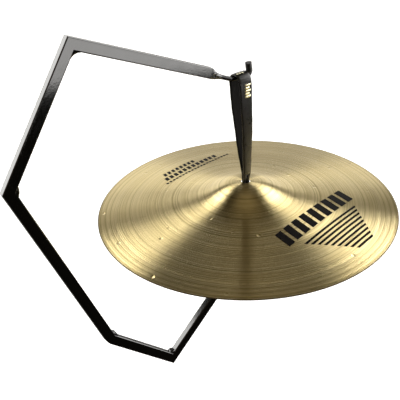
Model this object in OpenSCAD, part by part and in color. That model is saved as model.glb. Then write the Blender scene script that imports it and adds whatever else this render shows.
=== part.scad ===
// Suspended hand cymbal: a bronze cymbal hanging by its leather strap from
// the hook of an open arm, welded from five mitred rectangular tubes.
// The arm drops over the rod of a cymbal stand. The stand is not part of this.
// Units are mm and +Z is up. The arm lies in the XZ plane, and the origin is
// on the cymbal's axis at the bottom face of the stand socket.

/* [Cymbal] */
// Diameter of the cymbal, an 18 inch size
cymbal_d = 457.2; // [400:0.1:510]
// Thickness of the bronze
cymbal_t = 1.1; // [0.8:0.1:1.5]
// Diameter of the bell half way up its side
bell_d = 100; // [80:1:120]
// Rise of the bow from the rim to the middle, without the bell
bow_h = 24; // [16:1:30]
// Rise of the bell above the bow
bell_h = 20.5; // [14:0.5:24]
// Diameter of the centre hole
hole_d = 14; // [13.5:0.5:16]
// Height of the rim above the socket's bottom face
rim_z = 95; // [90:1:99]

/* [Arm] */
// Outside width of the rectangular tube in the plane of the arm
tube_w = 15; // [13:0.1:16]
// Outside depth of the rectangular tube across the arm
tube_d = 10; // [9.6:0.1:12]
// Wall of the tube
tube_wall = 1.6; // [1:0.1:2]
// X of the free end that carries the hook
end_x = -61; // [-66:1:-56]
// Z of the free end that carries the hook
end_z = 328; // [325:1:331]
// X of the top corner
top_x = -257.5; // [-262:0.5:-250]
// Z of the top corner
top_z = 416; // [410:0.5:420]
// X of the left corner
left_x = -363; // [-370:0.5:-355]
// Z of the left corner
left_z = 262; // [255:0.5:270]
// X of the lower left corner
foot_x = -261.5; // [-270:0.5:-255]
// Z of the lower left corner
foot_z = -20; // [-30:0.5:-10]
// X of the bottom corner
low_x = -160; // [-165:0.5:-155]
// Z of the bottom corner
low_z = -120.5; // [-130:0.5:-115]
// Radius of the tube's long edges
tube_edge = 1.5; // [0.5:0.1:2.5]
// Length of a weld bead along each tube
weld_leg = 7; // [5:0.5:10]
// How much is ground off the outside of the lower left corner
corner_cut = 1.2; // [0.5:0.1:1.4]

/* [Stand socket] */
// Outside diameter of the socket
socket_d = 19; // [17:0.5:22]
// Bore for an 8 mm stand rod
socket_bore = 8.5; // [8.2:0.1:9]
// Height of the socket
socket_h = 38; // [34:1:42]

/* [Hook] */
// Diameter of the hook rod, a quarter inch
rod_d = 6.35; // [6:0.05:6.5]
// Height of the rod's centre line where the strap sits
seat_z = 308; // [307:0.5:309]
// X of the upturned tip at seat height
tip_x = 10.4; // [10.4:0.1:11]
// Rise of the tip above the seat
tip_h = 16.5; // [14:0.5:20]
// Outside diameter of the sleeve on the tip
sleeve_d = 9.5; // [8.5:0.1:9.6]

/* [Strap] */
// Thickness of the leather
leather_t = 2.5; // [2:0.1:2.6]
// Half the outside width of the open loop, seen from its edge
loop_r = 12; // [11:0.5:13]
// Left edge of the band on the hook
band_x0 = -18; // [-18:0.5:-15]
// Right edge of the band on the hook
band_x1 = 3.9; // [3:0.1:4]
// Left edge of the band at its lower end
band_end_x0 = -6; // [-8:0.5:-5]
// Right edge of the band at its lower end
band_end_x1 = 9; // [7:0.5:10]
// Width of one of the four tails
tail_w = 5.6; // [4.5:0.1:5.7]
// Thickness of a tail, pared thinner than the band
tail_t = 2.3; // [1.8:0.1:2.4]
// Diameter of the knot under the bell
knot_d = 30; // [26:1:32]

/* [Hidden] */

paint = [0.02, 0.02, 0.02];
black_leather = [0.06, 0.05, 0.045];
bronze = [0.78, 0.66, 0.38];

cymbal_r = cymbal_d / 2;
bell_r = bell_d / 2;
half_tube = tube_w / 2;
rod_r = rod_d / 2;
arm = [[end_x, end_z], [top_x, top_z], [left_x, left_z],
       [foot_x, foot_z], [low_x, low_z], [0, socket_h / 2]];
bell_top_z = rim_z + bow_h + bell_h - 0.5;
// The lowest edge of the band, and the top of the tails 2.4 mm below it
band_end_z = bell_top_z + 12.2;
tail_top_z = bell_top_z + 9.8;
tail_end_z = bell_top_z - 2.6;

// ---- plane geometry of the arm, as [x, z] points ----
function unit(v) = v / norm(v);
function left_of(v) = [-v[1], v[0]];
// Where the edges of two tubes meet at corner i, s to the left of the centre line
function corner(i, s) =
    let (n = left_of(unit(arm[i] - arm[i - 1])), m = left_of(unit(arm[i + 1] - arm[i])),
         k = unit(n + m))
    arm[i] + k * s / (k * n);
function start_edge(i, s) =
    i == 0 ? arm[0] + left_of(unit(arm[1] - arm[0])) * s : corner(i, s);
function end_edge(i, s) =
    i == 4 ? arm[5] + left_of(unit(arm[5] - arm[4])) * s : corner(i + 1, s);

// A flat XZ outline given depth w along Y, centred on the arm's plane
module slab(w, points) {
    rotate([90, 0, 0]) linear_extrude(w, center = true) polygon(points);
}

// A rectangle w by d with its corners rounded to radius r
module rounded_oblong(w, d, r) {
    square([w, d - 2 * r], center = true);
    square([w - 2 * r, d], center = true);
    for (x = [-1, 1], y = [-1, 1])
        translate([x * (w / 2 - r), y * (d / 2 - r)]) circle(r = r, $fn = 32);
}

// Tube i of the arm, open inside and mitred at its corners
module arm_tube(i) {
    d = arm[i + 1] - arm[i];
    run_on = 12;
    wide = half_tube + 1;
    color(paint)
    difference() {
        intersection() {
            translate([arm[i][0], 0, arm[i][1]]) rotate([0, atan2(d[0], d[1]), 0])
                translate([0, 0, -run_on]) linear_extrude(norm(d) + 2 * run_on) difference() {
                    rounded_oblong(tube_w, tube_d, tube_edge);
                    square([tube_w - 2 * tube_wall, tube_d - 2 * tube_wall], center = true);
                }
            slab(tube_d + 2, [start_edge(i, wide), end_edge(i, wide),
                              end_edge(i, -wide), start_edge(i, -wide)]);
        }
        if (i == 4)
            translate([0, 0, -1]) cylinder(r = socket_d / 2, h = socket_h + 2, $fn = 96);
        // The lower left corner is ground blunt on its outside
        if (i == 2 || i == 3) ground_off(3, corner_cut);
    }
}

// Everything beyond a line across the outside of corner i, depth inside its point
module ground_off(i, depth) {
    k = unit(corner(i, half_tube) - corner(i, -half_tube));
    p = corner(i, -half_tube) + k * depth;
    slab(tube_d + 4, [p + left_of(k) * 20, p + left_of(k) * 20 - k * 20,
                      p - left_of(k) * 20 - k * 20, p - left_of(k) * 20]);
}

// Bead in the inside corner i. It bulges out between its legs, or dips in if
// bulge is negative, and stops short of both faces of the arm by inset.
module corner_weld(i, leg, bulge, inset) {
    p = corner(i, half_tube);
    a = p + unit(arm[i - 1] - arm[i]) * leg;
    b = p + unit(arm[i + 1] - arm[i]) * leg;
    out = unit((a + b) / 2 - p) * leg * bulge;
    color(paint)
    slab(tube_d - 2 * inset,
         concat([p], [for (k = [0:8]) a + (b - a) * k / 8 + out * sin(22.5 * k)]));
}

// ---- round rod with bends ----
// A straight length of round rod between two [x, z] points
module rod(a, b, r) {
    d = b - a;
    translate([a[0], 0, a[1]]) rotate([0, atan2(d[0], d[1]), 0])
        cylinder(r = r, h = norm(d), $fn = 64);
}

// Length along each direction that a bend of radius bend takes up
function reach(u, v, bend) = bend * tan(acos(u * v) / 2);
// An anticlockwise bend about the corner p, from direction u to direction v
module rod_bend(p, u, v, bend, r) {
    c = p - u * reach(u, v, bend) + left_of(u) * bend;
    translate([c[0], 0, c[1]]) rotate([90, 0, 0])
        rotate([0, 0, atan2(-left_of(u)[1], -left_of(u)[0])])
            rotate_extrude(angle = acos(u * v), $fn = 96)
                translate([bend, 0]) circle(r = r, $fn = 48);
}

arm_dir = unit(arm[0] - arm[1]);
seat_dir = [1, 0];
// The tip leans back over the seat by this angle from upright
tip_lean = 7;
tip_dir = [-sin(tip_lean), cos(tip_lean)];
neck_bend = 8;
tip_bend = 5.2;
// The rod runs this far below the tube's middle line, half a millimetre clear of its lower wall
rod_drop = 2.225;
rod_start = arm[0] - left_of(arm_dir) * rod_drop - arm_dir * 24;
seat_start = rod_start + arm_dir * (seat_z - rod_start[1]) / arm_dir[1];
neck_end = seat_start - arm_dir * reach(arm_dir, seat_dir, neck_bend);
seat_a = seat_start + seat_dir * reach(arm_dir, seat_dir, neck_bend);
seat_end = [tip_x, seat_z];
seat_b = seat_end - seat_dir * reach(seat_dir, tip_dir, tip_bend);
tip_a = seat_end + tip_dir * reach(seat_dir, tip_dir, tip_bend);
tip_end = seat_end + tip_dir * tip_h;

// ---- cymbal outline ----
// Height of the top face above the rim plane at radius r
function bow_at(r) = bow_h * (1 - pow(r / cymbal_r, 1.5));
function bell_at(r) = bell_h / (1 + pow(r / bell_r, 4));
function top_at(r) = bow_at(r) + bell_at(r) - bell_at(cymbal_r);

// ---- strap outline, as [y, z] points ----
mid_r = loop_r - leather_t / 2;
crown_z = seat_z + rod_r + 0.3 + leather_t / 2 - mid_r;
function bezier(p, t) = p[0] * pow(1 - t, 3) + 3 * p[1] * t * pow(1 - t, 2)
    + 3 * p[2] * t * t * (1 - t) + p[3] * pow(t, 3);
side = [[mid_r, crown_z], [mid_r + 0.7, crown_z - 37],
        [mid_r - 1.2, crown_z - 87], [leather_t / 2 + 0.1, band_end_z]];
// One face of the band from its front lower end over the crown to the back
function band_face(s) = concat(
    [for (k = [16:-1:1]) bezier(side, k / 16) + [s, 0]],
    [for (a = [0:10:180]) [0, crown_z] + (mid_r + s) * [cos(a), sin(a)]],
    [for (k = [1:16]) let (p = bezier(side, k / 16)) [-p[0] - s, p[1]]]);
function flip(list) = [for (k = [len(list) - 1:-1:0]) list[k]];

module tail(sx, sy) {
    color(black_leather)
    translate([sx * (tail_w / 2 + 0.1) - tail_w / 2, sy * (tail_t / 2 + 0.05) - tail_t / 2,
               tail_end_z])
        cube([tail_w, tail_t, tail_top_z - tail_end_z]);
}

// A tail's free end, leaving the knot towards angle a and drooping
module knot_end(a) {
    color(black_leather)
    rotate([0, 0, a]) translate([knot_d / 2 - 1.5, 0, bell_top_z - 17]) rotate([0, 26, 0])
        translate([0, -tail_w / 2, -tail_t / 2]) cube([26, tail_w, tail_t]);
}

// ---- sub-parts ----
module top_tube() arm_tube(0);
module upper_left_tube() arm_tube(1);
module lower_left_tube() arm_tube(2);
module bottom_tube() arm_tube(3);
module riser_tube() arm_tube(4);
// The top weld is a smooth fillet, and the other three are plain beads
module weld_top() corner_weld(1, weld_leg * 1.5, -0.22, 0.3);
module weld_left() corner_weld(2, weld_leg * 1.2, 0.1, 1);
module weld_lower_left() corner_weld(3, weld_leg, 0.2, 1);
module weld_bottom() corner_weld(4, weld_leg * 0.8, 0.2, 1);

// Lump of weld that closes the tube's end and tapers onto the rod
module weld_hook() {
    a = arm[0];
    b = rod_start + arm_dir * 46;
    tilt = atan2(arm_dir[0], arm_dir[1]);
    color(paint) difference() {
        hull() {
            translate([a[0], 0, a[1]]) rotate([0, tilt, 0])
                translate([-half_tube, -tube_d / 2, 0]) cube([tube_w, tube_d, 0.6]);
            translate([a[0], 0, a[1]]) rotate([0, tilt, 0])
                translate([-half_tube + 0.9, -tube_d / 2 + 1, 0])
                    cube([tube_w - 1.8, tube_d - 2, 6]);
            translate([b[0], 0, b[1]]) rotate([0, tilt, 0])
                cylinder(r = rod_r + 0.4, h = 0.5, $fn = 24);
        }
        rod(rod_start, seat_start, rod_r);
    }
}

// Fillet ring where the riser meets the socket
module weld_socket() {
    n = unit(arm[4] - arm[5]);
    color(paint)
    difference() {
        slab(tube_d + 4, [for (s = [1, -1], e = [0, 1])
            arm[5] + left_of(n) * (half_tube + 2) * s
                + n * (socket_d / 2 + (s * e + (1 - s) / 2) * 5)]);
        slab(tube_d, [for (s = [1, -1], e = [0, 1])
            arm[5] + left_of(n) * half_tube * s + n * (s * e + (1 - s) / 2) * 30]);
        translate([0, 0, -1]) cylinder(r = socket_d / 2, h = socket_h + 2, $fn = 96);
    }
}

module stand_socket() {
    color(paint)
    rotate_extrude($fn = 96) polygon([
        [socket_bore / 2, 0], [socket_d / 2 - 1, 0], [socket_d / 2, 1],
        [socket_d / 2, socket_h - 1], [socket_d / 2 - 1, socket_h], [socket_bore / 2, socket_h]]);
}

module hook_rod() {
    color(paint) {
        rod(rod_start, neck_end, rod_r);
        rod_bend(seat_start, arm_dir, seat_dir, neck_bend, rod_r);
        rod(seat_a, seat_b, rod_r);
        rod_bend(seat_end, seat_dir, tip_dir, tip_bend, rod_r);
        rod(tip_a, tip_end - tip_dir, rod_r);
    }
}

// Soft black sleeve over the hook's bend and tip
module tip_sleeve() {
    color([0.03, 0.03, 0.03])
    difference() {
        union() {
            rod_bend(seat_end, seat_dir, tip_dir, tip_bend, sleeve_d / 2);
            rod(tip_a, tip_end, sleeve_d / 2);
        }
        rod_bend(seat_end, seat_dir, tip_dir, tip_bend, rod_r);
        rod(tip_a, tip_end - tip_dir, rod_r);
    }
}

// Wide part of the strap: one strip folded over the hook
module strap_band() {
    color(black_leather)
    intersection() {
        translate([-60, 0, 0]) rotate([90, 0, 90]) linear_extrude(120)
            polygon(concat(band_face(leather_t / 2), flip(band_face(-leather_t / 2))));
        slab(60, [[band_x0, seat_z + 12], [band_x1, seat_z + 12], [band_x1, crown_z],
                  [band_end_x1, band_end_z - 1], [band_end_x0, band_end_z - 1],
                  [band_x0, crown_z]]);
    }
}

module tail_front_left() tail(-1, -1);
module tail_front_right() tail(1, -1);
module tail_back_left() tail(-1, 1);
module tail_back_right() tail(1, 1);

// Round knot that the cymbal hangs on, with a dimple where the tails enter
module strap_knot() {
    k = knot_d / 2;
    color(black_leather)
    rotate_extrude($fn = 64) polygon(concat(
        [[0, bell_top_z - 22], [k * 0.55, bell_top_z - 21.2], [k * 0.85, bell_top_z - 18.5],
         [k, bell_top_z - 14], [k * 0.97, bell_top_z - 9.5], [k * 0.85, bell_top_z - 6]],
        [for (r = [k * 0.7, 9, 7.6]) [r, rim_z + top_at(r) - cymbal_t - 0.35]],
        [[7, bell_top_z - 4], [0, bell_top_z - 4]]));
}

module knot_end_front() knot_end(-90);
module knot_end_back() knot_end(90);
module knot_end_left() knot_end(180);
module knot_end_right() knot_end(0);

module cymbal() {
    r0 = hole_d / 2;
    // Close steps over the bell, wider ones over the bow
    radii = concat([for (k = [0:17]) r0 + (bell_r * 1.9 - r0) * k / 17],
                   [for (k = [1:16]) bell_r * 1.9 + (cymbal_r - 0.5 - bell_r * 1.9) * k / 16]);
    last = cymbal_r - 0.5;
    color(bronze)
    rotate_extrude($fn = 180) polygon(concat(
        [for (r = radii) [r, rim_z + top_at(r)]],
        [[cymbal_r, rim_z + top_at(last) - cymbal_t / 2]],
        [for (r = flip(radii)) [r, rim_z + top_at(r) - cymbal_t]]));
}

top_tube();
upper_left_tube();
lower_left_tube();
bottom_tube();
riser_tube();
weld_top();
weld_left();
weld_lower_left();
weld_bottom();
weld_hook();
weld_socket();
stand_socket();
hook_rod();
tip_sleeve();
strap_band();
tail_front_left();
tail_front_right();
tail_back_left();
tail_back_right();
strap_knot();
knot_end_front();
knot_end_back();
knot_end_left();
knot_end_right();
cymbal();
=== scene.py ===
"""Suspended hand cymbal on its hook arm: looks, light and camera.

Metres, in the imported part's frame: the arm lies in the XZ plane, +Z is up and
the origin is on the cymbal's axis at the foot of the stand socket.
"""
import math

import bmesh
import bpy
from mathutils import Matrix, Vector, noise


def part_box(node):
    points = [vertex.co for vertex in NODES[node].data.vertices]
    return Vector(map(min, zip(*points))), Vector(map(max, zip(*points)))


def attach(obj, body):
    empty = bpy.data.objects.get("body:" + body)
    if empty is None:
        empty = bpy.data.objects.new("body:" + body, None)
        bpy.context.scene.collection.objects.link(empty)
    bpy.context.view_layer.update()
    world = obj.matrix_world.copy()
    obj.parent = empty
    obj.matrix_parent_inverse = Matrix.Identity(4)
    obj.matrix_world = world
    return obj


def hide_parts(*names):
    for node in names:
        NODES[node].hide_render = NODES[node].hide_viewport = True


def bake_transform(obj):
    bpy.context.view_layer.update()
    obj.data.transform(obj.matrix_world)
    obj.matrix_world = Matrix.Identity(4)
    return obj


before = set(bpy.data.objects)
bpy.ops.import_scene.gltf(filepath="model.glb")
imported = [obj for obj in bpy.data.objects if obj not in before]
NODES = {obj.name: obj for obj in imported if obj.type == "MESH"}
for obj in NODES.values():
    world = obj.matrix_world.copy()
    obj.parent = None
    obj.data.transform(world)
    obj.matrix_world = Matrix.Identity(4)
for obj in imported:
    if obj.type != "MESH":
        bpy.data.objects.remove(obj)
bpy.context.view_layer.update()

# ---------------------------------------------------------------- dimensions
MM = 0.001
CYMBAL_LOW, CYMBAL_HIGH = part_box("cymbal")
CYMBAL_R = (CYMBAL_HIGH[0] - CYMBAL_LOW[0]) / 2
CYMBAL_T = 0.0011
RIM_Z = 0.095      # height of the rim's top
BOW_H = 0.024      # rise of the bow
BELL_H = 0.0205    # rise of the bell above the bow
BELL_R = 0.050     # radius half way up the bell's side
HOLE_R = 0.007

LEATHER_T = 0.0025               # the folded strap
BAND_EDGE = 0.0009               # depth of its rounded edges
BAND_BULGE = 0.0003              # how far its faces swell in the middle
CROWN_R, CROWN_Z = 0.01075, 0.301975   # the fold over the hook, at the middle of the leather
# Control points of the strap's middle line as (y, z), from the fold down to the slit ends
SIDE = ((0.01075, 0.301975), (0.01145, 0.264975), (0.00955, 0.214975), (0.00135, 0.1512))
BAND_TOP_X = (-0.0180, 0.0039)   # left and right edge at the fold
BAND_END_X = (-0.0060, 0.0088)   # and at the slit ends
TAIL_T, TAIL_EDGE = 0.0023, 0.0007
TAIL_TOP_Z, TAIL_LOW_Z = 0.1570, 0.1325

TUBE_W, TUBE_D = 0.015, 0.010
# Corners of the tubes' middle line as (x, z), from the hook round to the socket
ARM = [Vector((x * MM, z * MM)) for x, z in
       ((-61, 328), (-257.5, 416), (-363, 262), (-261.5, -20), (-160, -120.5), (0, 19))]
ROD_DROP = 0.002225              # the hook's rod below the top tube's middle line


# ---------------------------------------------------------------- small tools
def new_mesh(name, verts, faces, smooth=True):
    """A new mesh object in the scene."""
    mesh = bpy.data.meshes.new(name)
    mesh.from_pydata([tuple(v) for v in verts], [], faces)
    mesh.validate()
    mesh.update()
    if smooth:
        mesh.polygons.foreach_set("use_smooth", [True] * len(mesh.polygons))
    obj = bpy.data.objects.new(name, mesh)
    bpy.context.scene.collection.objects.link(obj)
    return obj


def sleeve_faces(count, n):
    """Faces of a sleeve through count rings of n points each."""
    return [(i * n + k, i * n + (k + 1) % n, (i + 1) * n + (k + 1) % n, (i + 1) * n + k)
            for i in range(count - 1) for k in range(n)]


def add_plate(verts, faces, top, low, cols):
    """Adds a thin plate: two grids of points with cols to a row, and the rim between them."""
    base, size, rows = len(verts), len(top), len(top) // cols
    verts += top + low
    for i in range(rows - 1):
        for k in range(cols - 1):
            p = base + i * cols + k
            face = (p, p + 1, p + cols + 1, p + cols)
            faces.append(face)
            faces.append(tuple(q + size for q in reversed(face)))
    rim = ([k for k in range(cols)] + [i * cols + cols - 1 for i in range(1, rows)]
           + [(rows - 1) * cols + k for k in range(cols - 2, -1, -1)]
           + [i * cols for i in range(rows - 2, 0, -1)])
    for p, q in zip(rim, rim[1:] + rim[:1]):
        faces.append((base + p, base + size + p, base + size + q, base + q))


def face_outward(obj, split_caps=False, crease=None):
    """Turns the faces outward. Edges sharper than crease, in degrees, stay sharp."""
    bm = bmesh.new()
    bm.from_mesh(obj.data)
    bmesh.ops.recalc_face_normals(bm, faces=bm.faces)
    if split_caps:
        bmesh.ops.triangulate(bm, faces=[f for f in bm.faces if len(f.verts) > 4])
    if crease:
        for edge in bm.edges:
            edge.smooth = edge.calc_face_angle(0) < math.radians(crease)
    bm.to_mesh(obj.data)
    bm.free()


def dress(obj, material):
    """Puts one material on every face of obj."""
    obj.data.materials.clear()
    obj.data.materials.append(material)


class Nodes:
    """Short way to build a material's node tree."""

    def __init__(self, name):
        self.material = bpy.data.materials.new(name)
        self.material.use_nodes = True
        self.tree = self.material.node_tree
        self.shader = self.tree.nodes["Principled BSDF"]
        self.coords = self.tree.nodes.new("ShaderNodeTexCoord").outputs["Object"]

    def add(self, kind, inputs=None, **settings):
        node = self.tree.nodes.new(kind)
        for key, value in settings.items():
            setattr(node, key, value)
        for key, value in (inputs or {}).items():
            self.feed(node.inputs[key], value)
        return node

    def feed(self, socket, value):
        """Links a node's output to the socket, or sets a plain value on it."""
        if isinstance(value, bpy.types.NodeSocket):
            self.tree.links.new(value, socket)
        else:
            socket.default_value = value

    def math(self, operation, a, b=0.0):
        return self.add("ShaderNodeMath", {0: a, 1: b}, operation=operation).outputs[0]

    def noise(self, scale, detail=3.0, vector=None, roughness=0.5):
        return self.add("ShaderNodeTexNoise", {
            "Vector": vector or self.coords, "Scale": scale, "Detail": detail,
            "Roughness": roughness}).outputs["Fac"]

    def ramp(self, fac, low, high, first, last):
        """Goes from first to last, each a gray or a colour, as fac goes from low to high."""
        node = self.add("ShaderNodeValToRGB", {"Fac": fac})
        for element, place, color in zip(node.color_ramp.elements, (low, high), (first, last)):
            element.position = place
            element.color = rgba(color)
        return node.outputs["Color"]

    def mix(self, fac, a, b):
        node = self.add("ShaderNodeMix", data_type="RGBA")
        self.feed(node.inputs["Factor"], fac)
        self.feed(node.inputs[6], a)
        self.feed(node.inputs[7], b)
        return node.outputs[2]

    def bump(self, height, strength, distance, normal=None):
        inputs = {"Height": height, "Strength": strength, "Distance": distance}
        if normal is not None:
            inputs["Normal"] = normal
        return self.add("ShaderNodeBump", inputs).outputs["Normal"]

    def set(self, **values):
        """Feeds the shader's inputs, named with _ for a space."""
        for key, value in values.items():
            self.feed(self.shader.inputs[key.replace("_", " ")], value)

    def shine(self, level):
        self.shader.inputs["Specular IOR Level"].default_value = level


def rgba(color):
    """A colour with its alpha, from three numbers or from one gray."""
    return (color, color, color, 1.0) if isinstance(color, float) else (*color, 1.0)


# ---------------------------------------------------------------- materials
def gloss_paint(name, lumps=0.0, shine=0.5):
    """High-gloss black paint on steel, with faint orange peel."""
    m = Nodes(name)
    normal = m.bump(m.noise(420.0, 2.0), 0.06, 0.0003)
    if lumps:
        normal = m.bump(m.noise(300.0, 2.0), lumps, 0.0012, normal)
    dust = m.noise(35.0, 4.0)
    m.set(Base_Color=m.ramp(dust, 0.3, 0.8, 0.0003, (0.0010, 0.0010, 0.0009)),
          Roughness=m.ramp(m.noise(60.0), 0.3, 0.8, 0.05, 0.10),
          Normal=normal)
    m.shine(shine)
    return m.material


def bronze():
    """Lathed bronze: grooves run around the axis, so highlights spread along the radius."""
    m = Nodes("lathed_bronze")
    split = m.add("ShaderNodeSeparateXYZ", {0: m.coords})
    x, y = split.outputs["X"], split.outputs["Y"]
    radius = m.math("SQRT", m.math("ADD", m.math("MULTIPLY", x, x), m.math("MULTIPLY", y, y)))
    # Grooves depend on the radius alone
    along = m.add("ShaderNodeCombineXYZ", {0: radius}).outputs[0]
    hair = m.noise(900.0, 2.0, along)
    grooves = m.noise(260.0, 4.0, along, 0.75)
    passes = m.noise(60.0, 2.0, along)
    # Somewhat over half of the cells carry a hammer mark
    cells = m.add("ShaderNodeTexVoronoi", {"Vector": m.coords, "Scale": 40.0})
    chosen = m.add("ShaderNodeSeparateColor", {0: cells.outputs["Color"]}).outputs[0]
    pit = m.ramp(cells.outputs["Distance"], 0.0, 0.13, 0.0, 1.0)
    pit = m.math("MAXIMUM", pit, m.math("LESS_THAN", chosen, 0.45))
    normal = m.bump(hair, 1.0, 0.0003)
    normal = m.bump(grooves, 1.0, 0.0008, normal)
    normal = m.bump(pit, 1.0, 0.0010, normal)
    tone = m.ramp(m.noise(7.0, 3.0), 0.3, 0.75, (0.60, 0.49, 0.245), (0.68, 0.565, 0.30))
    # Darker in the groove bottoms: painted shade in the lathe grooves
    tone = m.mix(m.ramp(grooves, 0.40, 0.52, 0.0, 1.0), rgba((0.38, 0.30, 0.125)), tone)
    tone = m.mix(m.ramp(passes, 0.35, 0.65, 0.0, 0.35), tone, rgba((0.52, 0.41, 0.18)))
    m.set(Base_Color=tone, Roughness=m.ramp(passes, 0.3, 0.7, 0.27, 0.31),
          Metallic=1.0, Normal=normal)
    m.shader.inputs["Anisotropic"].default_value = 1.0
    m.shader.inputs["Anisotropic Rotation"].default_value = 0.25
    m.feed(m.shader.inputs["Tangent"],
           m.add("ShaderNodeTangent", direction_type="RADIAL", axis="Z").outputs[0])
    return m.material


def raw_edge():
    """The cut rim of the cymbal, dull and dark."""
    m = Nodes("bronze_cut_edge")
    marks = m.noise(500.0, 3.0)
    m.set(Base_Color=m.ramp(marks, 0.3, 0.8, (0.05, 0.035, 0.015), (0.12, 0.09, 0.04)),
          Metallic=1.0, Roughness=m.ramp(marks, 0.3, 0.8, 0.45, 0.6),
          Normal=m.bump(marks, 0.2, 0.0002))
    return m.material


def leather():
    """Smooth black strap leather with a polished grain side."""
    m = Nodes("black_strap_leather")
    grain = m.add("ShaderNodeTexVoronoi", {"Vector": m.coords, "Scale": 900.0},
                  feature="DISTANCE_TO_EDGE").outputs["Distance"]
    creases = m.noise(110.0, 4.0)
    normal = m.bump(m.math("MINIMUM", grain, 0.12), 0.25, 0.0004)
    normal = m.bump(creases, 0.18, 0.0008, normal)
    m.set(Base_Color=m.ramp(creases, 0.3, 0.75, (0.0030, 0.0027, 0.0022), (0.0065, 0.0058, 0.0045)),
          Roughness=m.ramp(m.noise(200.0, 3.0), 0.3, 0.8, 0.26, 0.38),
          Normal=normal)
    m.shine(0.2)
    return m.material


def inner_side_shade():
    """The strap's rough inner flesh side, dull black: darker than the grain side, as painted shade inside
    the folded loop.
    """
    m = Nodes("leather_inner_side_shade")
    nap = m.noise(600.0, 4.0)
    # Near-black colour: painted shade of the loop's inside
    m.set(Base_Color=m.ramp(nap, 0.3, 0.8, (0.0016, 0.0015, 0.0013), (0.0040, 0.0036, 0.0030)),
          Roughness=m.ramp(nap, 0.3, 0.8, 0.75, 0.9),
          Normal=m.bump(nap, 0.4, 0.0006))
    m.shine(0.08)
    return m.material


def ink():
    """Black print, worn a little thin by handling."""
    m = Nodes("black_ink")
    worn = m.noise(260.0, 4.0)
    m.set(Base_Color=m.ramp(worn, 0.30, 0.85, (0.0015, 0.0012, 0.0010), (0.0045, 0.0035, 0.0025)),
          Roughness=m.ramp(worn, 0.3, 0.8, 0.42, 0.6),
          Normal=m.bump(worn, 0.15, 0.0001))
    m.shine(0.05)
    return m.material


def foil():
    """Gold foil stamped in leather, rubbed through here and there."""
    m = Nodes("gold_foil")
    rubbed = m.noise(900.0, 3.0)
    m.set(Base_Color=m.ramp(rubbed, 0.36, 0.44, (0.10, 0.08, 0.04), (0.72, 0.68, 0.48)),
          Metallic=1.0, Roughness=m.ramp(rubbed, 0.3, 0.7, 0.5, 0.32),
          Normal=m.bump(rubbed, 0.2, 0.0001))
    return m.material


def vinyl():
    """Soft black vinyl of the sleeve, dull and lightly scuffed."""
    m = Nodes("soft_black_vinyl")
    scuffs = m.noise(150.0, 4.0)
    m.set(Base_Color=m.ramp(scuffs, 0.3, 0.8, 0.0016, (0.0045, 0.0043, 0.0040)),
          Roughness=m.ramp(scuffs, 0.3, 0.8, 0.35, 0.5),
          Normal=m.bump(m.noise(500.0), 0.15, 0.0004))
    return m.material


PAINT = gloss_paint("gloss_black_paint")
WELD = gloss_paint("painted_weld_bead", lumps=0.5)
# Shaded copies of the gloss paint: the hook's rod has its reflection turned far down and its weld a
# little, so both stay dark; painted shade
HOOK_PAINT_SHADED = gloss_paint("hook_paint_shaded", shine=0.08)
HOOK_WELD_SHADED = gloss_paint("hook_weld_paint_shaded", lumps=1.0, shine=0.4)
BRONZE = bronze()
RAW_EDGE = raw_edge()
LEATHER = leather()
INNER_SIDE_SHADE = inner_side_shade()
VINYL = vinyl()
INK = ink()
FOIL = foil()

for node_name in ("top_tube", "upper_left_tube", "lower_left_tube", "bottom_tube", "riser_tube",
                  "stand_socket"):
    dress(NODES[node_name], PAINT)
dress(NODES["hook_rod"], HOOK_PAINT_SHADED)
for node_name in ("weld_top", "weld_left", "weld_lower_left", "weld_bottom", "weld_hook",
                  "weld_socket"):
    dress(NODES[node_name], WELD)
dress(NODES["tip_sleeve"], VINYL)
for node_name in NODES:
    if node_name.startswith(("strap", "tail", "knot")):
        dress(NODES[node_name], LEATHER)


# ---------------------------------------------------------------- cymbal
def cymbal_height(r):
    """Height of the cymbal's top face at radius r."""
    bow = BOW_H * (1 - (r / CYMBAL_R) ** 1.5)
    bell = BELL_H / (1 + (r / BELL_R) ** 4) - BELL_H / (1 + (CYMBAL_R / BELL_R) ** 4)
    return RIM_Z + bow + bell


def lathe(name, outline, steps):
    """Turns a closed outline of (radius, z) points about the Z axis."""
    verts, faces, n = [], [], len(outline)
    for i in range(steps):
        a = 2 * math.pi * i / steps
        verts += [(r * math.cos(a), r * math.sin(a), z) for r, z in outline]
    for i in range(steps):
        for k in range(n):
            a, b = i * n + k, i * n + (k + 1) % n
            c, d = ((i + 1) % steps) * n + (k + 1) % n, ((i + 1) % steps) * n + k
            faces.append((a, d, c, b))
    return new_mesh(name, verts, faces)


def lathe_mark(r):
    """How far the lathe's passes leave the face above or below its mean at radius r."""
    fade = min(1.0, (r - HOLE_R) / 0.012, (CYMBAL_R - r) / 0.004)
    wave = noise.noise((r * 210, 0.3, 0)) + 0.6 * noise.noise((r * 520, 4.1, 0))
    return 0.00008 * wave * max(0.0, fade)


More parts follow.
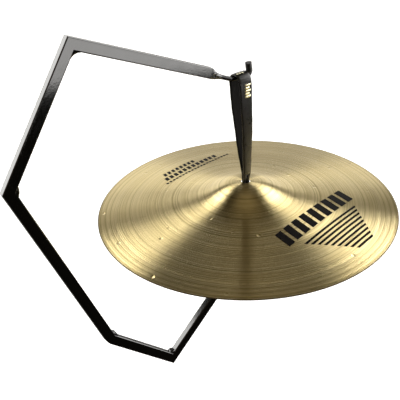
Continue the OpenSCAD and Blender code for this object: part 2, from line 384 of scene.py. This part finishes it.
def build_cymbal():
    """The disc, with its lathe marks and a cut edge at the rim and in the hole."""
    edge, corner = 0.0005, 0.00015
    cut_rim, cut_hole = CYMBAL_R - 0.0013, HOLE_R + 0.0001
    top_rings, low_rings = 300, 110
    span = CYMBAL_R - edge - HOLE_R
    radii = [HOLE_R + span * k / top_rings for k in range(top_rings + 1)]
    top = [(r, cymbal_height(r) + lathe_mark(r)) for r in radii]
    under = [HOLE_R + span * k / low_rings for k in range(low_rings, -1, -1)]
    low = [(r, cymbal_height(r) - CYMBAL_T + lathe_mark(r)) for r in under]
    rim_z = cymbal_height(radii[-1])
    rim = [(CYMBAL_R - corner, rim_z - 0.8 * corner), (CYMBAL_R, rim_z - CYMBAL_T / 2),
           (CYMBAL_R - corner, rim_z - CYMBAL_T + 0.8 * corner)]
    obj = lathe("cymbal_lathed", top + rim + low, 288)
    dress(obj, BRONZE)
    obj.data.materials.append(RAW_EDGE)
    for face in obj.data.polygons:
        if not cut_hole <= math.hypot(face.center.x, face.center.y) <= cut_rim:
            face.material_index = 1
    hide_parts("cymbal")
    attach(obj, "cymbal")


build_cymbal()


def decal(name, shapes, origin, turn):
    """Thin ink on the cymbal's top. Shapes are outlines of four corners, in mm from origin."""
    verts, faces = [], []
    rows, cols = 4, 11
    lifts = (0.00022, -0.0002)    # clear of the lathe marks, and sunk in the bronze
    c, s = math.cos(math.radians(turn)), math.sin(math.radians(turn))
    for shape in shapes:
        foot_left, foot_right, head_right, head_left = [Vector(corner) * MM for corner in shape]
        spots = []
        for i in range(rows):
            for k in range(cols):
                u = k / (cols - 1)
                spot = foot_left.lerp(foot_right, u).lerp(head_left.lerp(head_right, u), i / (rows - 1))
                spots.append((origin[0] + spot.x * c - spot.y * s, origin[1] + spot.x * s + spot.y * c))
        top, low = ([(x, y, cymbal_height(math.hypot(x, y)) + lift) for x, y in spots] for lift in lifts)
        add_plate(verts, faces, top, low, cols)
    obj = new_mesh(name, verts, faces, smooth=False)
    dress(obj, INK)
    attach(obj, "cymbal")


def slanted(x, width, y0, y1, lean=0.0):
    """A bar with its left foot at x, from y0 to y1, whose head is shifted by lean."""
    return ((x, y0), (x + width, y0), (x + width + lean, y1), (x + lean, y1))


def build_marks():
    """Plain bars and stripes where the real one is printed."""
    large = [slanted(x, 13, 9, 38, 5) for x in range(-84, 72, 19)]
    for k in range(9):
        y, half = -2.5 - 7.0 * k, 66 - 5.6 * k
        large.append(((2.8 - half, y - 3.5), (half - 2.8, y - 3.5), (half, y), (-half, y)))
    decal("mark_large", large, (0.045, -0.130), 10.5)
    small = [slanted(x, 5.5, 11.5, 21, 3) for x in range(-48, 20, 9)]
    small += [slanted(x, 6.5, -4, 6.5, 3) for x in range(-58, 62, 10)]
    small += [slanted(x, 4.5, -13.5, -9.5) for x in range(-66, 76, 7)]
    decal("mark_small", small, (0.0, 0.140), 7.4)


build_marks()


# ---------------------------------------------------------------- strap
def strip(name, stations, thickness, edge, bulge=0.0, inner=None):
    """Sweeps a flat strap with rounded edges through stations (centre, across, out, width).

    The side away from out gets the material inner, where one is given.
    """
    verts, half = [], thickness / 2
    flat_points, edge_points = 9, 4
    n = 2 * (flat_points + edge_points)
    slots = [2 * j / (flat_points - 1) - 1 for j in range(flat_points)]
    turn = [math.pi * j / (edge_points + 1) for j in range(1, edge_points + 1)]
    for centre, across, out, width in stations:
        flat = width / 2 - edge
        ring = [(flat * t, half + bulge * (1 - t * t)) for t in slots]
        ring += [(flat + edge * math.sin(a), half * math.cos(a)) for a in turn]
        ring += [(-flat * t, bulge * (1 - t * t) - half) for t in slots]
        ring += [(-flat - edge * math.sin(a), -half * math.cos(a)) for a in turn]
        verts += [centre + across * u + out * v for u, v in ring]
    faces = sleeve_faces(len(stations), n)
    for base in (0, (len(stations) - 1) * n):
        mid = len(verts)
        verts.append(sum(verts[base:base + n], Vector((0, 0, 0))) / n)
        faces += [(base + k, base + (k + 1) % n, mid) for k in range(n)]
    obj = new_mesh(name, verts, faces)
    face_outward(obj)
    dress(obj, LEATHER)
    if inner:
        obj.data.materials.append(inner)
        for i in range(len(stations) - 1):
            for k in range(flat_points + edge_points - 1, 2 * flat_points + edge_points):
                obj.data.polygons[i * n + k].material_index = 1
    return obj


def bezier(points, t):
    """Point at t on the cubic curve with these four control points."""
    w = ((1 - t) ** 3, 3 * t * (1 - t) ** 2, 3 * t * t * (1 - t), t ** 3)
    return tuple(sum(w[k] * points[k][axis] for k in range(4)) for axis in range(len(points[0])))


def band_path():
    """Middle line of the folded strap as (y, z), from the hole up the front and down the back."""
    side = [bezier(SIDE, k / 44) for k in range(45)]
    crown = [(-CROWN_R * math.cos(math.pi * k / 20), CROWN_Z + CROWN_R * math.sin(math.pi * k / 20))
             for k in range(1, 20)]
    return [(-y, z) for y, z in reversed(side)] + crown + side


def band_edges(z):
    """The strap's left and right edge at height z, a little wavy."""
    u = min(1.0, max(0.0, (CROWN_Z - z) / (CROWN_Z - SIDE[3][1])))
    wave = 0.00025 * math.sin(90 * z) + 0.00015 * math.sin(260 * z + 1)
    return tuple(a + (b - a) * u + wave for a, b in zip(BAND_TOP_X, BAND_END_X))


def band_stations():
    """The folded strap's middle line with its directions and widths, for strip()."""
    path = band_path()
    stations = []
    for k, (y, z) in enumerate(path):
        a, b = path[max(0, k - 1)], path[min(len(path) - 1, k + 1)]
        t = Vector((0, b[0] - a[0], b[1] - a[1])).normalized()
        out = Vector((0, -t.z, t.y))
        x0, x1 = band_edges(z)
        stations.append((Vector(((x0 + x1) / 2, y, z)), Vector((1, 0, 0)), out, x1 - x0))
    return stations


BAND = band_stations()


def build_band():
    """The wide part of the strap, folded over the hook."""
    # The inner faces get the near-black flesh side: painted shade inside the loop
    obj = strip("strap_folded", BAND, LEATHER_T, BAND_EDGE, BAND_BULGE, inner=INNER_SIDE_SHADE)
    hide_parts("strap_band")
    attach(obj, "strap")


def build_foil():
    """Gold foil bars stamped into the leather at the fold."""
    run = [0.0]
    for a, b in zip(BAND, BAND[1:]):
        run.append(run[-1] + (b[0] - a[0]).length)
    middle = run[-1] / 2

    def on_band(down, x, lift):
        """A point down the front from the top of the fold, at x, lift outside the leather."""
        place = middle - down
        k = max(i for i in range(len(run) - 1) if run[i] <= place)
        f = (place - run[k]) / (run[k + 1] - run[k])
        centre = BAND[k][0].lerp(BAND[k + 1][0], f)
        out = BAND[k][2].lerp(BAND[k + 1][2], f).normalized()
        u = (x - centre.x) / (BAND[k][3] / 2 - BAND_EDGE)
        spot = centre + out * (LEATHER_T / 2 + BAND_BULGE * (1 - u * u) + lift)
        return (x, spot.y, spot.z)

    # Bars as (down from, to, x from, to): five on the front, three on the fold
    pitch = 0.0042
    bars = [(0.0195 + pitch * k, 0.0221 + pitch * k, -0.0092, 0.0014 - 0.0022 * (k % 2)) for k in range(5)]
    bars += [(0.0005, 0.0030, -0.0150 + pitch * k, -0.0122 + pitch * k) for k in range(3)]
    verts, faces = [], []
    rows, cols = 4, 5
    for d0, d1, x0, x1 in bars:
        top, low = ([on_band(d0 + (d1 - d0) * i / (rows - 1), x0 + (x1 - x0) * k / (cols - 1), lift)
                     for i in range(rows) for k in range(cols)] for lift in (0.00006, -0.0003))
        add_plate(verts, faces, top, low, cols)
    obj = new_mesh("strap_foil", verts, faces)
    face_outward(obj)
    dress(obj, FOIL)
    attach(obj, "strap")


def build_tails():
    """The strap's ends are slit into four tails that drop through the hole."""
    steps = 14
    for depth, side_y in (("front", -1), ("back", 1)):
        for side, top_x, low_x, spare in (("left", -0.0030, -0.0029, 0.0006),
                                          ("right", 0.0060, 0.0031, 0.0)):
            stations = []
            for k in range(steps + 1):
                z = TAIL_TOP_Z + (TAIL_LOW_Z - TAIL_TOP_Z) * k / steps
                ease = min(1.0, max(0.0, (0.1535 - z) / 0.0125))
                ease = ease * ease * (3 - 2 * ease)
                x = top_x + (low_x - top_x) * ease
                y = side_y * (0.00150 - 0.0003 * ease)
                width = 0.0056 + spare * (1 - ease)
                stations.append((Vector((x, y, z)), Vector((1, 0, 0)), Vector((0, side_y, 0)), width))
            name = f"tail_{depth}_{side}"
            obj = strip(name + "_leather", stations, TAIL_T, TAIL_EDGE)
            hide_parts(name)
            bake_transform(obj)


def knot_line(start):
    """Middle line of a knot end: it curls a quarter turn round the knot, then lies out flat."""
    curl_r, curl_z, steps = 0.0135, 0.1220, 30
    line = []
    for k in range(steps + 1):
        curl, flat = min(1.0, 2 * k / steps), max(0.0, 2 * k / steps - 1)
        angle = start + math.radians(90) * curl ** 1.3
        if curl < 1:
            r = 0.004 + (curl_r - 0.004) * math.sin(curl * math.pi / 2)
            z = TAIL_LOW_Z - (TAIL_LOW_Z - curl_z) * curl ** 2
        else:
            r = curl_r + 0.0230 * flat
            z = curl_z - 0.0112 * flat - 0.0015 * flat * flat
        line.append(Vector((r * math.cos(angle), r * math.sin(angle), z)))
    return line


def build_knot():
    """A crown knot under the bell: each tail crosses the next one and lies out flat."""
    names = ("knot_end_right", "knot_end_back", "knot_end_left", "knot_end_front")
    for k, name in enumerate(names):
        line = knot_line(math.radians(90 * k - 90))
        stations = []
        for t, p in enumerate(line):
            d = (line[min(len(line) - 1, t + 1)] - line[max(0, t - 1)]).normalized()
            across = d.cross(Vector((0, 0, 1))).normalized()
            stations.append((p, across, across.cross(d), 0.0062))
        obj = strip(name + "_leather", stations, TAIL_T, TAIL_EDGE)
        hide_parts(name)
        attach(obj, "knot")
    axis_r = 0.00005
    outline = ((axis_r, 0.1190), (0.0060, 0.1186), (0.0105, 0.1196), (0.0135, 0.1225), (0.0142, 0.1260),
               (0.0128, 0.1295), (0.0100, 0.1325), (0.0072, 0.1345), (0.0040, 0.1350), (axis_r, 0.1350))
    core = lathe("knot_core", outline, 48)
    for v in core.data.vertices:
        angle = math.atan2(v.co.y, v.co.x)
        swell = 1 + 0.05 * math.sin(4 * angle + 0.6) + 0.02 * math.sin(9 * angle)
        v.co.x *= swell
        v.co.y *= swell
    dress(core, LEATHER)
    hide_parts("strap_knot")
    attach(core, "knot")


build_band()
build_foil()
build_tails()
build_knot()


# ---------------------------------------------------------------- welds
def inside_corner(i):
    """Where the inner faces of tubes i-1 and i meet, and the directions along both tubes."""
    back, on = (ARM[i - 1] - ARM[i]).normalized(), (ARM[i + 1] - ARM[i]).normalized()
    inward = (back + on).normalized()
    reach = TUBE_W / 2 / abs(inward.cross(on))
    return ARM[i] + inward * reach, back, on


def ripple(place, size):
    """Smooth random unevenness, finer with a larger size."""
    return noise.noise(Vector(place) * size)


def weld_bead(node, i, leg, bulge, half_depth, sink, lumps, material, soften=0.0015):
    """A bead across the inside of corner i; bulge below 0 hollows it into a fillet."""
    p, back, on = inside_corner(i)
    a, b = p + back * leg, p + on * leg
    out = ((a + b) / 2 - p).normalized()
    rows, cols = 29, 15
    verts = []
    for k in range(rows):
        y = half_depth * (2 * k / (rows - 1) - 1)
        near = max(0.0, soften - (half_depth - abs(y))) / soften
        drop = soften * (1 - math.sqrt(max(0.0, 1 - near * near)))
        ring = [p - out * sink * 1.6, a - out * sink]
        for m in range(cols):
            v = m / (cols - 1)
            q = a + (b - a) * v + out * (leg * bulge * math.sin(math.pi * v) - drop)
            bump = ripple((q.x, y, q.y), 420) * lumps + lumps * 0.5 * math.sin(y * 2600 + 3 * v)
            ring.append(q + out * bump * math.sin(math.pi * v) ** 0.5 if 0 < m < cols - 1 else q)
        ring.append(b - out * sink)
        verts += [(q.x, y, q.y) for q in ring]
    n = cols + 3
    faces = sleeve_faces(rows, n) + [tuple(range(n)), tuple(range((rows - 1) * n, rows * n))]
    obj = new_mesh(node + "_bead", verts, faces)
    face_outward(obj, split_caps=True, crease=50)
    dress(obj, material)
    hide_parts(node)
    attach(obj, "arm")


def build_hook_weld():
    """The lump that closes the tube's end and runs out onto the rod."""
    d = (ARM[0] - ARM[1]).normalized()
    down = Vector((d.y, -d.x))
    # Distance along the rod, half width, half depth (mm), and how round: 0 is square, 1 is round
    rows = ((0.0, 7.4, 4.9, 0.30), (1.5, 7.5, 5.0, 0.30), (4.0, 7.1, 4.8, 0.34), (6.5, 6.5, 4.6, 0.42),
            (9.0, 5.7, 4.3, 0.55), (12.0, 4.9, 4.1, 0.75), (15.5, 4.3, 3.9, 0.95),
            (19.0, 3.8, 3.6, 1.0), (22.0, 3.45, 3.4, 1.0), (22.4, 3.1, 3.1, 1.0))
    between, steps = 4, 56
    fine = []
    for first, last in zip(rows, rows[1:]):
        fine += [[p + (q - p) * k / between for p, q in zip(first, last)] for k in range(between)]
    fine.append(rows[-1])
    length = rows[-1][0]
    verts = []
    for s, w, h, roundness in fine:
        centre = ARM[0] + d * (s * MM) + down * ROD_DROP * min(1.0, s / 12)
        axis = Vector((centre.x, 0, centre.y))
        power = 6 - 4 * roundness
        lump = 0.00045 * min(1.0, s / 3) * min(1.0, (length - s) / 3)
        for k in range(steps):
            a = 2 * math.pi * k / steps
            c, e = math.cos(a), math.sin(a)
            reach = 1 / (abs(c) ** power + abs(e) ** power) ** (1 / power)
            q = centre + down * (w * reach * c * MM)
            spot = Vector((q.x, h * reach * e * MM, q.y))
            spot += (spot - axis).normalized() * lump * (ripple(spot, 330) + 0.5 * ripple(spot, 800))
            verts.append(spot)
    faces = sleeve_faces(len(fine), steps)
    faces += [tuple(range(steps)), tuple(range((len(fine) - 1) * steps, len(fine) * steps))]
    obj = new_mesh("weld_hook_lump", verts, faces)
    face_outward(obj, split_caps=True)
    dress(obj, HOOK_WELD_SHADED)
    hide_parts("weld_hook")
    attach(obj, "arm")


def build_welds():
    """The top corner has a smooth painted fillet, the others have plain beads."""
    half = TUBE_D / 2
    weld_bead("weld_top", 1, 0.0105, -0.22, half - 0.00003, 0.0035, 0.0, PAINT, 0.0020)
    weld_bead("weld_left", 2, 0.0080, 0.14, half - 0.0002, 0.0012, 0.0004, WELD)
    weld_bead("weld_lower_left", 3, 0.0072, 0.30, half - 0.0004, 0.0012, 0.0004, WELD)
    weld_bead("weld_bottom", 4, 0.0062, 0.30, half - 0.0004, 0.0012, 0.0004, WELD)
    build_hook_weld()


build_welds()

# ---------------------------------------------------------------- stage
FLOOR_Z = -0.62


def build_floor():
    """A pale floor that curves up into a far wall; nothing on the object reflects it."""
    profile = [(0.01, FLOOR_Z), (4.0, FLOOR_Z), (7.0, FLOOR_Z), (8.6, FLOOR_Z + 0.25),
               (9.6, FLOOR_Z + 0.9), (10.0, FLOOR_Z + 2.0), (10.0, FLOOR_Z + 5.0)]
    steps = 64
    turns = [2 * math.pi * i / steps for i in range(steps)]
    verts = [(r * math.cos(a), r * math.sin(a), z) for r, z in profile for a in turns]
    floor = new_mesh("floor", verts, sleeve_faces(len(profile), steps))
    m = Nodes("pale_floor")
    m.set(Base_Color=rgba(0.55), Roughness=0.95)
    m.shine(0.0)
    m.shader.inputs["Emission Color"].default_value = rgba(1.0)
    m.shader.inputs["Emission Strength"].default_value = 0.75
    dress(floor, m.material)
    floor.visible_glossy = False
    floor.visible_diffuse = False
    floor.visible_shadow = False


build_floor()

# The camera's place in metres, and its turns in degrees about Z, X and its own line of sight
CAMERA_AT = Vector((-0.5987, -0.6985, 0.6579))
CAMERA_YAW, CAMERA_PITCH, CAMERA_ROLL = -36.198, -30.843, -3.187
CAMERA_LENS = 62.61

camera_data = bpy.data.cameras.new("camera")
camera_data.lens = CAMERA_LENS
camera_data.sensor_width = 36.0
camera_data.clip_end = 60.0
camera = bpy.data.objects.new("camera", camera_data)
bpy.context.scene.collection.objects.link(camera)
camera.matrix_world = (Matrix.Translation(CAMERA_AT)
                       @ Matrix.Rotation(math.radians(CAMERA_YAW), 4, "Z")
                       @ Matrix.Rotation(math.radians(90 + CAMERA_PITCH), 4, "X")
                       @ Matrix.Rotation(math.radians(CAMERA_ROLL), 4, "Z"))
bpy.context.scene.camera = camera

# The studio, as panels of light on the sky: (azimuth from, to, elevation from, to, soft edge in
# azimuth and elevation, radiance, tint). Azimuths run anticlockwise seen from above, from the
# camera's side of the object.
WHITE = (1.0, 0.985, 0.96)
WARM = (1.0, 0.84, 0.58)
STUDIO_DIM = 0.04
PANELS = (
    (80, 134, -12, 40, 1.5, 1.5, 10.0, WHITE),       # right softbox
    (96, 122, 40, 54, 2, 1.5, 5.0, WHITE),           # a lamp above it
    (48, 80, -20.5, -15, 1, 0.2, 6.8, WHITE),        # a low panel in front of it
    (-134, -82, -12, 20, 1.5, 2, 7.4, WHITE),        # left softbox, lower half
    (-134, -82, 20, 31.3, 1.5, 0.4, 11.5, WHITE),    # left softbox, upper half
    (-134, -112, 31.3, 48, 1.5, 1.5, 8.0, WHITE),    # the lamp above it
    (151, 209, -8, 27, 2, 3, 1.7, WHITE),            # white wall behind the object
    (120, 240, -45, -10, 8, 8, 0.26, WHITE),         # pale floor behind the object
    (-60, 60, 5, 90, 20, 20, 0.50, WARM),            # the room behind the camera
)


def build_studio():
    """Puts the panels of light on the world's background."""
    world = bpy.data.worlds.new("studio")
    bpy.context.scene.world = world
    world.use_nodes = True
    tree = world.node_tree

    def node(kind, inputs, **settings):
        made = tree.nodes.new(kind)
        for key, value in settings.items():
            setattr(made, key, value)
        for key, value in inputs.items():
            if isinstance(value, bpy.types.NodeSocket):
                tree.links.new(value, made.inputs[key])
            else:
                made.inputs[key].default_value = value
        return made

    def math_node(operation, a, b=0.0, c=0.0):
        return node("ShaderNodeMath", {0: a, 1: b, 2: c}, operation=operation).outputs[0]

    def edge(value, middle, soft, first, last):
        return node("ShaderNodeMapRange", {
            "Value": value, "From Min": middle - soft, "From Max": middle + soft,
            "To Min": first, "To Max": last}, interpolation_type="SMOOTHSTEP").outputs[0]

    direction = tree.nodes.new("ShaderNodeTexCoord").outputs["Generated"]
    turned = node("ShaderNodeVectorRotate", {
        "Vector": direction, "Angle": -math.radians(270 + CAMERA_YAW)},
        rotation_type="Z_AXIS").outputs[0]
    split = node("ShaderNodeSeparateXYZ", {0: turned})
    azimuth = math_node("DEGREES", math_node("ARCTAN2", split.outputs["Y"], split.outputs["X"]))
    elevation = math_node("DEGREES", math_node("ARCSINE", split.outputs["Z"]))
    full_turn = math_node("WRAP", azimuth, 360.0, 0.0)
    light = node("ShaderNodeCombineXYZ", dict(enumerate(c * STUDIO_DIM for c in WARM))).outputs[0]
    for a0, a1, e0, e1, soft_a, soft_e, power, tint in PANELS:
        az = full_turn if a1 > 180 else azimuth
        glow = edge(az, a0, soft_a, 0, power)
        for part in (edge(az, a1, soft_a, 1, 0), edge(elevation, e0, soft_e, 0, 1),
                     edge(elevation, e1, soft_e, 1, 0)):
            glow = math_node("MULTIPLY", glow, part)
        scaled = node("ShaderNodeVectorMath", {0: tint, "Scale": glow}, operation="SCALE").outputs[0]
        light = node("ShaderNodeVectorMath", {0: light, 1: scaled}, operation="ADD").outputs[0]
    tree.links.new(light, tree.nodes["Background"].inputs["Color"])


build_studio()

scene = bpy.context.scene
scene.view_settings.view_transform = "Standard"
scene.view_settings.look = "None"
scene.cycles.use_denoising = True
